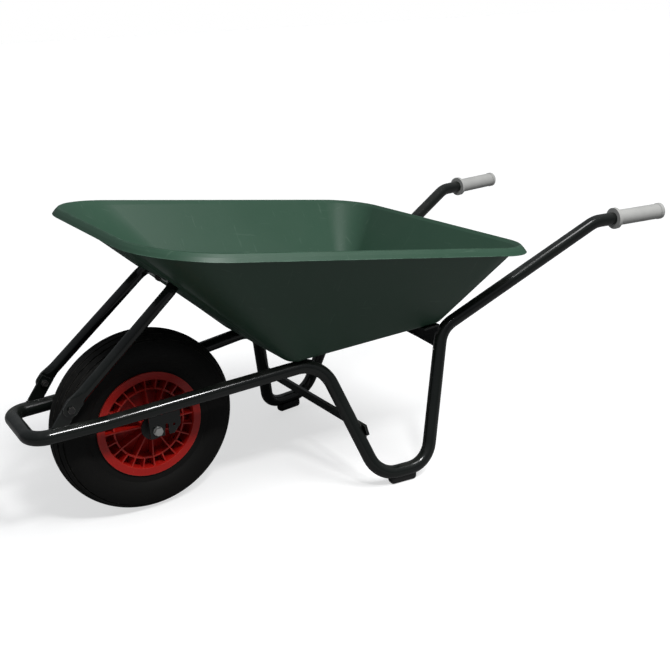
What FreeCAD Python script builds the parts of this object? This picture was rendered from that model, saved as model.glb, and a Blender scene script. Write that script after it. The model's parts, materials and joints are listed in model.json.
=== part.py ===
import FreeCAD, Part
import math
import os
import Sketcher
from FreeCAD import Placement, Rotation, Vector

# Single-wheel garden barrow with a moulded tray on a bent steel tube frame.
# X runs from the wheel (-X) to the handles (+X), Y runs across, Z is up.
# The origin is on the floor, in the middle of the overall length and width.
# "left" pieces are on the -Y side and "right" pieces are their mirror image.

doc = FreeCAD.newDocument("Wheelbarrow")
sheet = doc.addObject("Spreadsheet::Sheet", "Sizes")

DRIVING = (
    # frame tube: centre line corners, one side (y is the distance from the middle)
    ("tube_radius", 15.0), ("tube_bore", 13.2),
    ("loop_front_x", -745.0), ("loop_front_y", 82.0), ("loop_z", 252.0),
    ("splice_x", -692.0), ("splice_y", 85.0), ("flare_x", -600.0), ("flare_y", 90.27),
    ("knee_x", -132.0), ("knee_y", 147.0), ("knee_z", 287.0),
    ("heel_x", -61.0), ("heel_y", 253.0), ("foot_z", 29.0),
    ("toe_x", 62.0), ("toe_y", 268.0),
    ("rear_x", 159.0), ("rear_y", 202.0), ("rear_z", 312.0),
    ("handle_x", 554.0), ("handle_y", 282.0), ("handle_z", 510.0),
    ("grip_end_x", 751.0), ("grip_end_y", 306.2),
    ("loop_bend", 36.0), ("flare_bend", 150.0), ("knee_bend", 70.0),
    ("foot_bend", 62.0), ("rear_bend", 65.0), ("handle_bend", 60.0),
    # grips, feet and leg brace
    ("grip_length", 143.5), ("grip_radius", 18.3), ("grip_collar_radius", 25.0),
    ("grip_collar_length", 8.0), ("grip_rim_radius", 19.3), ("grip_rim_length", 9.0),
    ("grip_cap", 5.0), ("grip_end_gap", 1.0),
    ("foot_pad_length", 66.0), ("foot_pad_width", 24.0), ("foot_pad_height", 21.0),
    ("foot_pad_round", 9.0), ("foot_pad_inboard", 4.0),
    ("brace_length", 458.0), ("brace_width", 26.0), ("brace_thickness", 6.0), ("brace_drop", 0.61),
    # tray: outer floor outline, and the outline of the lip at the bottom of its skirt
    ("floor_front_x", -209.0), ("floor_rear_x", 165.0), ("floor_front_y", 158.0),
    ("floor_rear_y", 205.0), ("floor_front_z", 300.6), ("floor_rear_z", 327.6),
    ("floor_front_corner", 26.0), ("floor_rear_corner", 25.0),
    ("lip_front_x", -567.6), ("lip_rear_x", 320.2), ("lip_front_y", 335.7),
    ("lip_rear_y", 375.4), ("lip_front_z", 635.5), ("lip_rear_z", 503.2),
    ("lip_front_corner", 172.0), ("lip_rear_corner", 112.0),
    ("lip_flare", 11.5), ("lip_drop", 15.9), ("lip_wall", 4.0), ("lip_edge", 1.2),
    ("lip_crown", 3.0), ("lip_crown_drop", 1.2), ("lip_overhang", 2.0),
    ("tray_wall", 5.0), ("tray_floor", 4.0), ("floor_round", 11.0), ("inner_round", 9.0),
    ("floor_round_rise", 0.035), ("mouth_share", 0.965), ("mouth_flare", 2.4), ("mouth_over", 14.0),
    # ribs down the tray's front wall: proud at the top, running out near the floor
    ("rib_radius", 20.0), ("rib_height", 9.0), ("rib_spacing", 54.0),
    ("rib_low", 0.04), ("rib_high", 0.95),
    # tray supports
    ("strap_x", -165.0), ("strap_width", 40.0), ("strap_thickness", 6.0), ("strap_y", 141.0),
    ("member_x", 148.0), ("member_flange", 42.0), ("member_thickness", 4.0),
    ("member_y", 208.0), ("member_end_z", 268.0), ("member_mid_z", 280.0),
    # front stay and its lugs; the stay's top bar lies in a groove across the front wall
    ("stay_radius", 12.0), ("stay_bore", 10.2), ("stay_top_y", 83.0), ("stay_bend", 30.0),
    ("stay_share", 0.607), ("stay_out", -6.0), ("stay_gap", 0.3), ("stay_boss_radius", 13.0),
    ("kink_x", -655.4), ("kink_z", 310.0), ("stay_foot_y", 90.8), ("stay_neck", 26.0),
    ("stay_bolt_x", -664.5), ("stay_bolt_z", 299.5), ("stay_foot_width", 30.0),
    ("stay_foot_thickness", 6.0), ("lug_base_x", -692.0), ("lug_base_z", 262.0),
    ("lug_width", 27.0), ("lug_thickness", 5.0),
    # axle brackets and axle
    ("wheel_x", -491.0), ("plate_y", 75.0), ("plate_thickness", 5.0), ("plate_front", 17.0),
    ("plate_rear", 52.0), ("plate_top", 50.0), ("plate_lobe", 14.0), ("plate_flange", 24.0),
    ("plate_cut_height", 4.0), ("plate_cut_length", 16.0),
    ("slot_front", 15.0), ("slot_rear", 25.0), ("slot_top", 11.0), ("slot_length", 60.0),
    ("plate_hole_x", 37.0),
    ("plate_hole_z", 5.0), ("plate_hole_radius", 3.2),
    ("axle_radius", 5.0), ("axle_clearance", 0.06), ("axle_head_height", 6.4),
    ("axle_across_corners", 18.9), ("axle_nut_height", 8.4), ("axle_tail", 4.0),
    ("washer_radius", 10.0), ("washer_thickness", 2.0), ("spacer_radius", 9.0), ("side_play", 0.4),
    # wheel
    ("tyre_radius", 200.0), ("tyre_half_width", 46.0), ("tyre_section", 44.0), ("tyre_wall", 7.0),
    ("bead_radius", 101.6), ("bead_half_width", 35.6), ("bead_thickness", 9.0),
    ("sidewall_radius", 131.0), ("liner_radius", 127.0),
    ("groove_depth", 3.0), ("groove_width", 3.4),
    ("flange_radius", 115.0), ("flange_inner", 99.0), ("flange_half_width", 40.0),
    ("flange_thickness", 4.4), ("barrel_inner", 97.6),
    ("ring_outer", 79.0), ("ring_inner", 75.5), ("ring_half_width", 33.0),
    ("pocket_floor", 4.0), ("hub_radius", 23.0), ("hub_half_width", 54.0), ("hub_bore", 14.0),
    ("cone_rise", 16.0), ("rib_thickness", 2.6), ("pocket_rib_depth", 36.0),
    ("bush_flange_radius", 27.0), ("bush_flange", 4.0), ("bush_length", 26.0),
    ("tube_ring_radius", 153.0), ("air_radius", 33.0), ("air_wall", 2.5),
    ("valve_angle", -44.0), ("valve_radius", 4.0), ("valve_base", 122.6), ("valve_tip", 82.0),
    ("valve_cap_radius", 4.8), ("valve_cap_length", 9.0), ("valve_cap_tip", 2.0), ("valve_y", 18.0),
    ("valve_hole_gap", 0.3), ("valve_hole_start", 80.0), ("valve_hole_length", 50.0),
    ("valve_room_gap", 1.5), ("valve_room_start", 72.0),
    # M8 fasteners
    ("bolt_radius", 4.0), ("bolt_hole", 4.2), ("bolt_corners", 15.0), ("bolt_head", 5.5),
    ("nut_height", 6.8), ("bolt_tail", 3.0), ("thin_nut_height", 4.0), ("thin_nut_tail", 1.0),
    ("hexagon_top", 0.92), ("hexagon_slope", 0.7), ("dome_radius", 10.0), ("dome_height", 4.5),
    ("saddle_thickness", 3.0), ("saddle_rise", 1.0), ("drill_reach", 70.0), ("foot_drill_reach", 20.0),
    ("small_washer_radius", 9.0), ("small_washer_thickness", 1.6),
    ("strap_bolt_y", 88.0), ("member_bolt_y", 110.0), ("member_bolt_x", 127.0),
)


def cell(alias, value):
    """Add one plain number with a name to the sheet."""
    row = str(cell.next_row)
    cell.next_row = cell.next_row + 1
    sheet.set("A" + row, alias)
    sheet.set("B" + row, str(value))
    sheet.setAlias("B" + row, alias)
    return value


cell.next_row = 1
for name, number in DRIVING:
    cell(name, number)
doc.recompute()


def size(alias):
    return float(sheet.get(alias))


def signed(alias):
    return -size(alias[1:]) if alias.startswith("-") else size(alias)


# ---------------------------------------------------------------- helpers

def new_body(label):
    body = doc.addObject("PartDesign::Body", label)
    body.Label = label
    return body


def origin_plane(body, role):
    for feature in body.Origin.OriginFeatures:
        if feature.Role == role:
            return feature
    raise ValueError(role)


def new_sketch(body, role, label):
    sketch = body.newObject("Sketcher::SketchObject", label)
    sketch.AttachmentSupport = (origin_plane(body, role), [""])
    sketch.MapMode = "FlatFace"
    return sketch


def hold(sketch, kind, line, alias):
    """Tie one coordinate of a line's start to a cell, or to the axis for "0"."""
    if alias == "0":
        axis = -2 if kind == "DistanceX" else -1
        sketch.addConstraint(Sketcher.Constraint("PointOnObject", line, 1, axis))
        return
    name = alias.lstrip("-")
    ends = (line, 1, -1, 1) if alias.startswith("-") else (-1, 1, line, 1)
    index = sketch.addConstraint(Sketcher.Constraint(kind, *ends, size(name)))
    sketch.setExpression("Constraints[" + str(index) + "]", "Sizes." + name)


def outline(sketch, corners):
    """Closed outline of straight lines whose corners are pairs of cell names."""
    places = []
    for x_alias, y_alias in corners:
        x = 0.0 if x_alias == "0" else signed(x_alias)
        y = 0.0 if y_alias == "0" else signed(y_alias)
        places.append(Vector(x, y, 0))
    count = len(places)
    for index in range(count):
        sketch.addGeometry(Part.LineSegment(places[index], places[(index + 1) % count]), False)
    for index in range(count):
        following = (index + 1) % count
        sketch.addConstraint(Sketcher.Constraint("Coincident", index, 2, following, 1))
    for index, (x_alias, y_alias) in enumerate(corners):
        hold(sketch, "DistanceX", index, x_alias)
        hold(sketch, "DistanceY", index, y_alias)


def revolve(body, sketch):
    turned = body.newObject("PartDesign::Revolution", body.Label + "_turn")
    turned.Profile = sketch
    turned.ReferenceAxis = (sketch, ["V_Axis"])
    turned.Angle = 360.0
    return turned


def feature(label, shape, place=None):
    solid = doc.addObject("Part::Feature", label)
    solid.Label = label
    solid.Shape = shape
    if place is not None:
        solid.Placement = place
    return solid


def mirrored(shape):
    return shape.mirror(Vector(0, 0, 0), Vector(0, 1, 0))


def bent_path(corners, radii):
    """Straight runs joined by arcs of the given radius at each inner corner."""
    edges = []
    start = corners[0]
    for index in range(1, len(corners) - 1):
        corner = corners[index]
        back = (corners[index - 1] - corner).normalize()
        ahead = (corners[index + 1] - corner).normalize()
        half = back.getAngle(ahead) / 2.0
        reach = radii[index - 1] / math.tan(half)
        bisector = (back + ahead).normalize()
        centre = corner + bisector * (radii[index - 1] / math.sin(half))
        middle = centre - bisector * radii[index - 1]
        first = corner + back * reach
        last = corner + ahead * reach
        edges.append(Part.LineSegment(start, first).toShape())
        edges.append(Part.Arc(first, middle, last).toShape())
        start = last
    edges.append(Part.LineSegment(start, corners[-1]).toShape())
    return Part.Wire(edges)


def rod_along(path, radius):
    first = path.Edges[0]
    direction = first.tangentAt(first.FirstParameter)
    ring = Part.Wire([Part.makeCircle(radius, first.valueAt(first.FirstParameter), direction)])
    return path.makePipeShell([ring], True, False)


def pipe_along(path, radius, bore):
    return rod_along(path, radius).cut(rod_along(path, bore))


def point(x_alias, y_alias, z_alias):
    return Vector(size(x_alias), -size(y_alias), size(z_alias))


# ---------------------------------------------------------------- frame tube

splice = point("splice_x", "splice_y", "loop_z")
loop_front = point("loop_front_x", "loop_front_y", "loop_z")
flare = point("flare_x", "flare_y", "loop_z")
knee = point("knee_x", "knee_y", "knee_z")
heel = point("heel_x", "heel_y", "foot_z")
toe = point("toe_x", "toe_y", "foot_z")
rear = point("rear_x", "rear_y", "rear_z")
handle = point("handle_x", "handle_y", "handle_z")
grip_end = point("grip_end_x", "grip_end_y", "handle_z")
grip_line = (grip_end - handle).normalize()
tube_end = grip_end - grip_line * (size("grip_cap") + size("grip_end_gap"))


def other_side(place):
    return Vector(place.x, -place.y, place.z)


loop_path = bent_path([splice, loop_front, other_side(loop_front), other_side(splice)],
                      [size("loop_bend"), size("loop_bend")])
loop_solid = pipe_along(loop_path, size("tube_radius"), size("tube_bore"))
front_loop = feature("front_loop", loop_solid)

side_corners = [splice, flare, knee, heel, toe, rear, handle, tube_end]
side_bends = [size("flare_bend"), size("knee_bend"), size("foot_bend"), size("foot_bend"),
              size("rear_bend"), size("handle_bend")]
side_path = bent_path(side_corners, side_bends)
side_rod = rod_along(side_path, size("tube_radius"))
side_solid = side_rod.cut(rod_along(side_path, size("tube_bore")))
side_tube_left = feature("side_tube_left", side_solid)
side_tube_right = feature("side_tube_right", mirrored(side_solid))
frame_rods = [rod_along(loop_path, size("tube_radius")), side_rod, mirrored(side_rod)]


def coped(shape):
    """Cut a welded piece so that it meets the frame tubes without entering them."""
    for rod in frame_rods:
        shape = shape.cut(rod)
    return shape


# ---------------------------------------------------------------- grips

cell("grip_bore", size("tube_radius"))
cell("grip_rim_start", size("grip_length") - size("grip_rim_length"))
cell("grip_bore_depth", size("grip_length") - size("grip_cap"))
doc.recompute()
GRIP_OUTLINE = (
    ("grip_bore", "0"), ("grip_collar_radius", "0"),
    ("grip_collar_radius", "grip_collar_length"), ("grip_radius", "grip_collar_length"),
    ("grip_radius", "grip_rim_start"), ("grip_rim_radius", "grip_rim_start"),
    ("grip_rim_radius", "grip_length"), ("0", "grip_length"),
    ("0", "grip_bore_depth"), ("grip_bore", "grip_bore_depth"),
)
for side_name, side in (("left", 1), ("right", -1)):
    grip = new_body("grip_" + side_name)
    grip_sketch = new_sketch(grip, "XY_Plane", "grip_profile_" + side_name)
    outline(grip_sketch, GRIP_OUTLINE)
    revolve(grip, grip_sketch)
    doc.recompute()
    line = Vector(grip_line.x, grip_line.y * side, 0)
    inboard = Vector(grip_end.x, grip_end.y * side, grip_end.z) - line * size("grip_length")
    grip.Placement = Placement(inboard, Rotation(Vector(0, 1, 0), line))

# ---------------------------------------------------------------- feet and brace

foot_middle = (heel + toe) * 0.5
foot_turn = math.degrees(math.atan2(toe.y - heel.y, toe.x - heel.x))
for side_name, side in (("left", 1), ("right", -1)):
    block = doc.addObject("Part::Box", "foot_block_" + side_name)
    block.setExpression("Length", "Sizes.foot_pad_length")
    block.setExpression("Width", "Sizes.foot_pad_width")
    block.setExpression("Height", "Sizes.foot_pad_height")
    turn = Rotation(Vector(0, 0, 1), foot_turn * side)
    corner = Vector(-size("foot_pad_length") / 2, -size("foot_pad_width") / 2, 0)
    middle = Vector(foot_middle.x, (foot_middle.y + size("foot_pad_inboard")) * side, 0)
    block.Placement = Placement(middle + turn.multVec(corner), turn)
    doc.recompute()
    top = block.Shape.BoundBox.ZMax
    below_top = [edge for edge in block.Shape.Edges if edge.CenterOfMass.z < top]
    rounded = block.Shape.makeFillet(size("foot_pad_round"), below_top)
    feature("foot_pad_" + side_name, coped(rounded))

leg = heel - knee
leg_slope = Vector(leg.x, 0, leg.z).normalize()
behind_leg = Vector(-leg_slope.z, 0, leg_slope.x)
stand_off = size("tube_radius") + size("brace_thickness") / 2
brace_middle = Vector(knee.x, 0, knee.z) + Vector(leg.x, 0, leg.z) * size("brace_drop")
brace_middle = brace_middle + behind_leg * stand_off
brace = doc.addObject("Part::Box", "leg_brace_bar")
brace.setExpression("Length", "Sizes.brace_thickness")
brace.setExpression("Width", "Sizes.brace_length")
brace.setExpression("Height", "Sizes.brace_width")
lean = Rotation(Vector(0, 0, -1), leg_slope)
half_bar = Vector(-size("brace_thickness") / 2, -size("brace_length") / 2, -size("brace_width") / 2)
brace.Placement = Placement(brace_middle + lean.multVec(half_bar), lean)
doc.recompute()
feature("leg_brace", coped(brace.Shape))

# ---------------------------------------------------------------- tray


def outline_sizes(prefix):
    """Plan of the floor or the lip: end positions, half widths, heights, corner radii."""
    parts = ("front_x", "rear_x", "front_y", "rear_y", "front_z", "rear_z",
             "front_corner", "rear_corner")
    return {part: size(prefix + "_" + part) for part in parts}


def between(low, high, share):
    return {key: low[key] + (high[key] - low[key]) * share for key in low}


def shrunk(plan, inset):
    """Move every side inwards by the inset, staying on the plan's sloping plane."""
    smaller = dict(plan)
    slope = (plan["rear_z"] - plan["front_z"]) / (plan["rear_x"] - plan["front_x"])
    smaller["front_z"] = plan["front_z"] + slope * inset
    smaller["rear_z"] = plan["rear_z"] - slope * inset
    smaller["front_x"] = plan["front_x"] + inset
    smaller["rear_x"] = plan["rear_x"] - inset
    smaller["front_y"] = plan["front_y"] - inset
    smaller["rear_y"] = plan["rear_y"] - inset
    smaller["front_corner"] = max(plan["front_corner"] - inset, 4.0)
    smaller["rear_corner"] = max(plan["rear_corner"] - inset, 4.0)
    return smaller


def raised(plan, rise):
    lifted = dict(plan)
    lifted["front_z"] = plan["front_z"] + rise
    lifted["rear_z"] = plan["rear_z"] + rise
    return lifted


def plan_wire(plan):
    """Rounded four-sided wire on the sloping plane of the plan."""
    run = plan["rear_x"] - plan["front_x"]
    fall = plan["rear_z"] - plan["front_z"]
    length = math.hypot(run, fall)
    widen = math.atan2(plan["rear_y"] - plan["front_y"], length)
    ends = (
        (0.0, plan["front_corner"], math.pi, math.pi / 2 + widen, 1.0),
        (length, plan["rear_corner"], math.pi / 2 + widen, 0.0, -1.0),
    )
    arcs = []
    for station, radius, start_angle, end_angle, inward in ends:
        along = station + inward * radius
        half_width = plan["front_y"] + (plan["rear_y"] - plan["front_y"]) * along / length
        centre = Vector(along, half_width - radius / math.cos(widen), 0)
        trio = []
        for angle in (start_angle, (start_angle + end_angle) / 2, end_angle):
            trio.append(centre + Vector(radius * math.cos(angle), radius * math.sin(angle), 0))
        arcs.append(trio)
    right = [arcs[0], arcs[1]]
    left = [[Vector(p.x, -p.y, 0) for p in reversed(trio)] for trio in reversed(right)]
    rounds = right + left
    edges = []
    for index, trio in enumerate(rounds):
        edges.append(Part.Arc(*trio).toShape())
        following = rounds[(index + 1) % 4][0]
        edges.append(Part.LineSegment(trio[2], following).toShape())
    wire = Part.Wire(edges)
    slope = Rotation(Vector(1, 0, 0), Vector(run, 0, fall))
    wire.Placement = Placement(Vector(plan["front_x"], 0, plan["front_z"]), slope)
    return wire


def stack(plans):
    return Part.makeLoft([plan_wire(plan) for plan in plans], True, True)


def pan(floor, top, rounding, tail):
    """Pan-shaped block: rounded floor edge, straight walls, then the tail plans."""
    plans = []
    for step in (0.0, 0.25, 0.5, 0.75, 1.0):
        inset = rounding * (1.0 - step) ** 2
        share = size("floor_round_rise") * step ** 2
        plans.append(shrunk(between(floor, top, share), inset))
    return stack(plans + tail)


lip = outline_sizes("lip")
floor_outer = outline_sizes("floor")
wall_inset = size("lip_flare") + size("lip_overhang")
wall_top = shrunk(lip, wall_inset)
outer_block = pan(floor_outer, wall_top, size("floor_round"), [wall_top])

# the lip's skirt leans outwards from a narrow rounded crest down to a thin edge
lip_block = stack([
    raised(shrunk(lip, size("lip_edge")), -size("lip_drop")),
    raised(lip, size("lip_edge") - size("lip_drop")),
    raised(shrunk(lip, size("lip_flare") * 0.5), -size("lip_drop") * 0.45),
    raised(shrunk(lip, size("lip_flare")), -size("lip_crown_drop")),
    shrunk(lip, size("lip_flare") + size("lip_crown")),
])
lip_hollow = stack([
    raised(shrunk(lip, size("lip_wall")), -size("lip_drop") - size("lip_edge")),
    raised(shrunk(lip, size("lip_flare") + size("lip_wall")), -size("lip_wall")),
])

inner_floor = raised(shrunk(floor_outer, size("tray_wall")), size("tray_floor"))
inner_top = shrunk(lip, wall_inset + size("tray_wall"))
mouth = shrunk(inner_top, -size("mouth_flare"))
inner_tail = [between(inner_floor, inner_top, size("mouth_share")), mouth,
              raised(mouth, size("mouth_over"))]
inner_block = pan(inner_floor, inner_top, size("inner_round"), inner_tail)

front_low = Vector(floor_outer["front_x"], 0, floor_outer["front_z"])
front_high = Vector(wall_top["front_x"], 0, wall_top["front_z"])
front_run = front_high - front_low
front_up = Vector(front_run).normalize()
front_out = Vector(-front_up.z, 0, front_up.x)


def front_place(share, out, across=0.0):
    """Point on the front wall: share of the way up, distance outside, y."""
    return front_low + front_run * share + front_out * out + Vector(0, across, 0)


def front_rib(across):
    """Round bar leaning out of the wall, so that the rib grows towards the lip."""
    low = front_place(size("rib_low"), -size("rib_radius"), across)
    high = front_place(size("rib_high"), size("rib_height") - size("rib_radius"), across)
    return Part.makeCylinder(size("rib_radius"), (high - low).Length, low, high - low)


tray_solid = lip_block.cut(lip_hollow).fuse(outer_block)
for rib_number in range(-2, 3):
    tray_solid = tray_solid.fuse(front_rib(rib_number * size("rib_spacing")))
tray_solid = tray_solid.cut(inner_block)

# ---------------------------------------------------------------- tray supports

floor_angle = math.degrees(math.atan2(floor_outer["rear_z"] - floor_outer["front_z"],
                                      floor_outer["rear_x"] - floor_outer["front_x"]))
floor_tilt = Rotation(Vector(0, 1, 0), -floor_angle)
floor_up = floor_tilt.multVec(Vector(0, 0, 1))


def floor_height(x):
    share = (x - floor_outer["front_x"]) / (floor_outer["rear_x"] - floor_outer["front_x"])
    return floor_outer["front_z"] + (floor_outer["rear_z"] - floor_outer["front_z"]) * share


def under_floor(x, across=0.0):
    return Vector(x, across, floor_height(x))


strap = doc.addObject("Part::Box", "strap_bar")
strap.setExpression("Length", "Sizes.strap_width")
strap.setExpression("Width", "2 * Sizes.strap_y")
strap.setExpression("Height", "Sizes.strap_thickness")
strap_corner = Vector(-size("strap_width") / 2, -size("strap_y"), -size("strap_thickness"))
strap.Placement = Placement(under_floor(size("strap_x")) + floor_tilt.multVec(strap_corner), floor_tilt)
doc.recompute()

member_top = under_floor(size("member_x"))
flange = Part.makeBox(size("member_flange"), 2 * size("member_y"), size("member_thickness"),
                      Vector(-size("member_flange"), -size("member_y"), -size("member_thickness")))
flange.Placement = Placement(member_top, floor_tilt)
web_corners = [
    Vector(0, -size("member_y"), member_top.z - 1.0), Vector(0, size("member_y"), member_top.z - 1.0),
    Vector(0, size("member_y"), size("member_end_z")),
]
web_edges = [Part.LineSegment(web_corners[0], web_corners[1]).toShape(),
             Part.LineSegment(web_corners[1], web_corners[2]).toShape(),
             Part.Arc(web_corners[2], Vector(0, 0, size("member_mid_z")),
                      Vector(0, -size("member_y"), size("member_end_z"))).toShape(),
             Part.LineSegment(Vector(0, -size("member_y"), size("member_end_z")),
                              web_corners[0]).toShape()]
web = Part.Face(Part.Wire(web_edges)).extrude(Vector(-size("member_thickness"), 0, 0))
web.Placement = Placement(Vector(member_top.x, 0, 0), Rotation())
member_solid = web.fuse(flange)

# ---------------------------------------------------------------- front stay and lugs

stay_top = front_place(size("stay_share"), size("stay_out"))
kink = Vector(size("kink_x"), 0, size("kink_z"))
stay_slope = (stay_top - kink).normalize()
across_foot = Vector(0, -size("stay_foot_y"), 0)
across_top = Vector(0, -size("stay_top_y"), 0)
leg_top = stay_top + across_top
leg_start = kink + across_foot + (leg_top - kink - across_foot).normalize() * size("stay_neck")
stay_path = bent_path([leg_start, leg_top, other_side(leg_top), other_side(leg_start)],
                      [size("stay_bend"), size("stay_bend")])
stay_solid = pipe_along(stay_path, size("stay_radius"), size("stay_bore"))

# the groove for the top bar, with its own wall and a flat boss inside the tray
groove_radius = size("stay_radius") + size("stay_gap")
boss_out = size("stay_out") - groove_radius - size("tray_wall")
boss_height = -boss_out - size("tray_wall") / 2
boss = Part.makeCylinder(size("stay_boss_radius"), boss_height,
                         front_place(size("stay_share"), boss_out), front_out)
groove_wall = rod_along(stay_path, groove_radius + size("tray_wall")).common(inner_block)
groove = rod_along(stay_path, groove_radius)
groove_mouth = groove.translated(front_out * -size("stay_out"))
tray_solid = tray_solid.fuse([groove_wall, boss]).cut([groove, groove_mouth])

bolt_place = Vector(size("stay_bolt_x"), 0, size("stay_bolt_z"))
foot_line = (bolt_place - kink).normalize()
foot_side = Vector(-foot_line.z, 0, foot_line.x)


def flat_end(start, middle, width, thickness, y_from):
    """Flat bar in the XZ plane from start to middle, with a half-round end."""
    half = foot_side * (width / 2)
    tip = middle + foot_line * (width / 2)
    edges = [Part.LineSegment(start + half, middle + half).toShape(),
             Part.Arc(middle + half, tip, middle - half).toShape(),
             Part.LineSegment(middle - half, start - half).toShape(),
             Part.LineSegment(start - half, start + half).toShape()]
    face = Part.Face(Part.Wire(edges))
    face.translate(Vector(0, y_from, 0))
    return face.extrude(Vector(0, thickness, 0))


def pressed_neck():
    """The tube's end pressed from round to flat, above the flat foot."""
    leg_line = (leg_top - leg_start).normalize()
    round_end = Part.Wire([Part.makeCircle(size("stay_radius"), leg_start, leg_line)])
    middle = kink + across_foot
    side_way = foot_side * (size("stay_foot_width") / 2)
    up_way = Vector(0, size("stay_foot_thickness") / 2, 0)
    corners = [middle + side_way + up_way, middle + side_way - up_way,
               middle - side_way - up_way, middle - side_way + up_way]
    flat = Part.makePolygon(corners + [corners[0]])
    return Part.makeLoft([round_end, flat], True, True)


stay_foot = flat_end(kink, bolt_place, size("stay_foot_width"), size("stay_foot_thickness"),
                     -size("stay_foot_y") - size("stay_foot_thickness") / 2)
stay_left_end = pressed_neck().fuse(stay_foot)
stay_solid = stay_solid.fuse([stay_left_end, mirrored(stay_left_end)])

lug_outside = size("stay_foot_y") - size("stay_foot_thickness") / 2
lug_base = Vector(size("lug_base_x"), 0, size("lug_base_z"))
lug_line = (kink - lug_base).normalize()
lug_half = Vector(-lug_line.z, 0, lug_line.x) * (size("lug_width") / 2)
lug_low = Part.makePolygon([lug_base + lug_half, kink + lug_half, kink - lug_half,
                            lug_base - lug_half, lug_base + lug_half])
lug_face = Part.Face(lug_low)
lug_face.translate(Vector(0, -lug_outside, 0))
lug_solid = coped(lug_face.extrude(Vector(0, size("lug_thickness"), 0)))

# ---------------------------------------------------------------- fasteners


def hexagon(corners, height):
    ring = []
    for step in range(7):
        angle = math.radians(60 * step)
        ring.append(Vector(corners / 2 * math.cos(angle), corners / 2 * math.sin(angle), 0))
    return Part.Face(Part.makePolygon(ring)).extrude(Vector(0, 0, height))


def chamfered_hexagon(corners, height):
    """Hexagon with its outer corners turned off, as on a real bolt head."""
    low_radius = corners / 2 + height * size("hexagon_slope")
    cone = Part.makeCone(low_radius, corners / 2 * size("hexagon_top"), height)
    return hexagon(corners, height).common(cone)


def placed(shape, origin, direction):
    copy = shape.copy()
    copy.Placement = Placement(origin, Rotation(Vector(0, 0, 1), direction))
    return copy


def hex_bolt(reach):
    """Head above z = 0 and shank below it."""
    shank = Part.makeCylinder(size("bolt_radius"), reach, Vector(0, 0, -reach))
    return chamfered_hexagon(size("bolt_corners"), size("bolt_head")).fuse(shank)


def coach_bolt(reach):
    ball = (size("dome_radius") ** 2 + size("dome_height") ** 2) / (2 * size("dome_height"))
    dome = Part.makeSphere(ball)
    dome.translate(Vector(0, 0, size("dome_height") - ball))
    cap = dome.common(Part.makeCylinder(size("dome_radius"), size("dome_height")))
    return cap.fuse(Part.makeCylinder(size("bolt_radius"), reach, Vector(0, 0, -reach)))


def nut(height):
    ring = chamfered_hexagon(size("bolt_corners"), height)
    return ring.cut(Part.makeCylinder(size("bolt_radius"), height))


def washer(radius, thickness, bore):
    return Part.makeCylinder(radius, thickness).cut(Part.makeCylinder(bore, thickness))


def hole_through(origin, direction, reach):
    start = origin - direction * reach
    return Part.makeCylinder(size("bolt_hole"), 2 * reach, start, direction)


tail = size("nut_height") + size("bolt_tail")
small_washer = washer(size("small_washer_radius"), size("small_washer_thickness"), size("bolt_hole"))
tray_bolts = []
tray_nuts = []
tray_washers = []
strap_solid = strap.Shape
floor_top = floor_up * size("tray_floor")
floor_joints = ((size("strap_x"), size("strap_bolt_y"), size("strap_thickness")),
                (size("member_bolt_x"), size("member_bolt_y"), size("member_thickness")))
for joint_x, joint_y, metal in floor_joints:
    for side in (-1, 1):
        seat = under_floor(joint_x, joint_y * side)
        drill = hole_through(seat, floor_up, size("foot_drill_reach"))
        tray_solid = tray_solid.cut(drill)
        strap_solid = strap_solid.cut(drill)
        member_solid = member_solid.cut(drill)
        under_metal = seat - floor_up * metal
        under_washer = under_metal - floor_up * size("small_washer_thickness")
        reach = size("tray_floor") + metal + size("small_washer_thickness") + tail
        tray_bolts.append(placed(coach_bolt(reach), seat + floor_top, floor_up))
        tray_washers.append(placed(small_washer, under_metal, floor_up * -1))
        tray_nuts.append(placed(nut(size("nut_height")), under_washer, floor_up * -1))

# one bolt through the groove's boss holds the middle of the stay's top bar
boss_face = front_place(size("stay_share"), boss_out)
bar_far = front_place(size("stay_share"), size("stay_out") + size("stay_radius"))
stay_drill = hole_through(stay_top, front_out, size("drill_reach"))
tray_solid = tray_solid.cut(stay_drill)
stay_solid = stay_solid.cut(stay_drill)
bolt_seat = boss_face - front_out * size("small_washer_thickness")
nut_seat = bar_far + front_out * size("saddle_rise")
reach = (nut_seat - bolt_seat).Length + size("thin_nut_height") + size("thin_nut_tail")
tray_bolts.append(placed(coach_bolt(reach), bolt_seat, front_out * -1))
tray_washers.append(placed(small_washer, boss_face, front_out * -1))
saddle = washer(size("small_washer_radius"), size("saddle_thickness"), size("bolt_hole"))
saddle = placed(saddle, nut_seat - front_out * size("saddle_thickness"), front_out)
tray_washers.append(saddle.cut(rod_along(stay_path, size("stay_radius"))))
tray_nuts.append(placed(nut(size("thin_nut_height")), nut_seat, front_out))

stay_bolts = []
stay_nuts = []
foot_outside = size("stay_foot_y") + size("stay_foot_thickness") / 2
lug_inside = lug_outside - size("lug_thickness")
for side in (-1, 1):
    outward = Vector(0, side, 0)
    head = bolt_place + outward * foot_outside
    back = bolt_place + outward * lug_inside
    drill = hole_through(bolt_place + outward * lug_outside, outward, size("foot_drill_reach"))
    stay_solid = stay_solid.cut(drill)
    if side < 0:
        lug_solid = lug_solid.cut(drill)
    grip_reach = size("stay_foot_thickness") + size("lug_thickness")
    stay_bolts.append(placed(hex_bolt(grip_reach + tail), head, outward))
    stay_nuts.append(placed(nut(size("nut_height")), back, outward * -1))

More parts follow.
